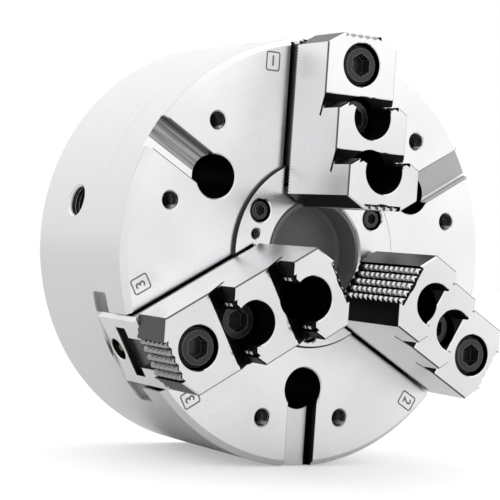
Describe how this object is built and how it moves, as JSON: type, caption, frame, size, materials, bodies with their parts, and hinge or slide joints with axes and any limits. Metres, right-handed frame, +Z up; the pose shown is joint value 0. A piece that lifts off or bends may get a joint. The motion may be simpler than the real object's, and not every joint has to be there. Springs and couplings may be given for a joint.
{
  "type": "lathe chuck",
  "caption": "Three-jaw wedge-hook power chuck for a lathe, with stepped hard top jaws bolted to serrated base jaws that slide radially in a round steel body.",
  "frame": {"origin": "centre of the back face, where the spindle axis leaves the locating recess", "axes": "+Y along the spindle axis towards the machine spindle, so the working face looks towards -Y; +Z up through jaw 1; +X to the right seen from the front"},
  "size_m": [0.21, 0.146, 0.2105],
  "materials": {
    "ground_steel": "fine ground and lightly polished steel",
    "jaw_steel": "ground hardened steel",
    "hard_jaw_steel": "bright ground hardened steel with milled grip teeth",
    "wedge_steel": "turned and ground steel, oiled",
    "nut_steel": "turned steel",
    "black_oxide": "black oxide, oiled, satin",
    "cap_plastic": "smooth dark grey moulding",
    "seal_rubber": "matt black rubber",
    "nipple_brass": "plain turned brass"
  },
  "bodies": {
    "body": {"chuck_body": "ground_steel", "centre_bush": "ground_steel", "bush_screws": "black_oxide", "dust_cap": "cap_plastic", "sleeve_seal": "seal_rubber", "plunger_seal": "seal_rubber"},
    "jaw_1": {"master_jaw_1": "jaw_steel", "top_jaw_1": "hard_jaw_steel", "t_nut_1": "black_oxide", "jaw_screws_1": "black_oxide", "grease_nipple_1": "nipple_brass"},
    "jaw_2": {"master_jaw_2": "jaw_steel", "top_jaw_2": "hard_jaw_steel", "t_nut_2": "black_oxide", "jaw_screws_2": "black_oxide", "grease_nipple_2": "nipple_brass"},
    "jaw_3": {"master_jaw_3": "jaw_steel", "top_jaw_3": "hard_jaw_steel", "t_nut_3": "black_oxide", "jaw_screws_3": "black_oxide", "grease_nipple_3": "nipple_brass"},
    "plunger": {"wedge_plunger": "wedge_steel", "nut_retainer": "wedge_steel", "retainer_screws": "black_oxide"},
    "nut": {"draw_nut": "nut_steel"}
  },
  "joints": [
    {"name": "plunger_slide", "type": "slide", "parent": "body", "child": "plunger", "axis": [0, 1, 0], "range_m": [0, 0.016]},
    {"name": "jaw_1_slide", "type": "slide", "parent": "body", "child": "jaw_1", "axis": [0, 0, 1], "range_m": [-0.0037, 0]},
    {"name": "jaw_2_slide", "type": "slide", "parent": "body", "child": "jaw_2", "axis": [0.866, 0, -0.5], "range_m": [-0.0037, 0]},
    {"name": "jaw_3_slide", "type": "slide", "parent": "body", "child": "jaw_3", "axis": [-0.866, 0, -0.5], "range_m": [-0.0037, 0]},
    {"name": "draw_nut_turn", "type": "hinge", "parent": "plunger", "child": "nut", "pos_m": [0, -0.03, 0], "axis": [0, 1, 0], "continuous": true}
  ],
  "couplings": [
    {"joint": "jaw_1_slide", "follows": "plunger_slide", "ratio": -0.23125},
    {"joint": "jaw_2_slide", "follows": "plunger_slide", "ratio": -0.23125},
    {"joint": "jaw_3_slide", "follows": "plunger_slide", "ratio": -0.23125}
  ]
}
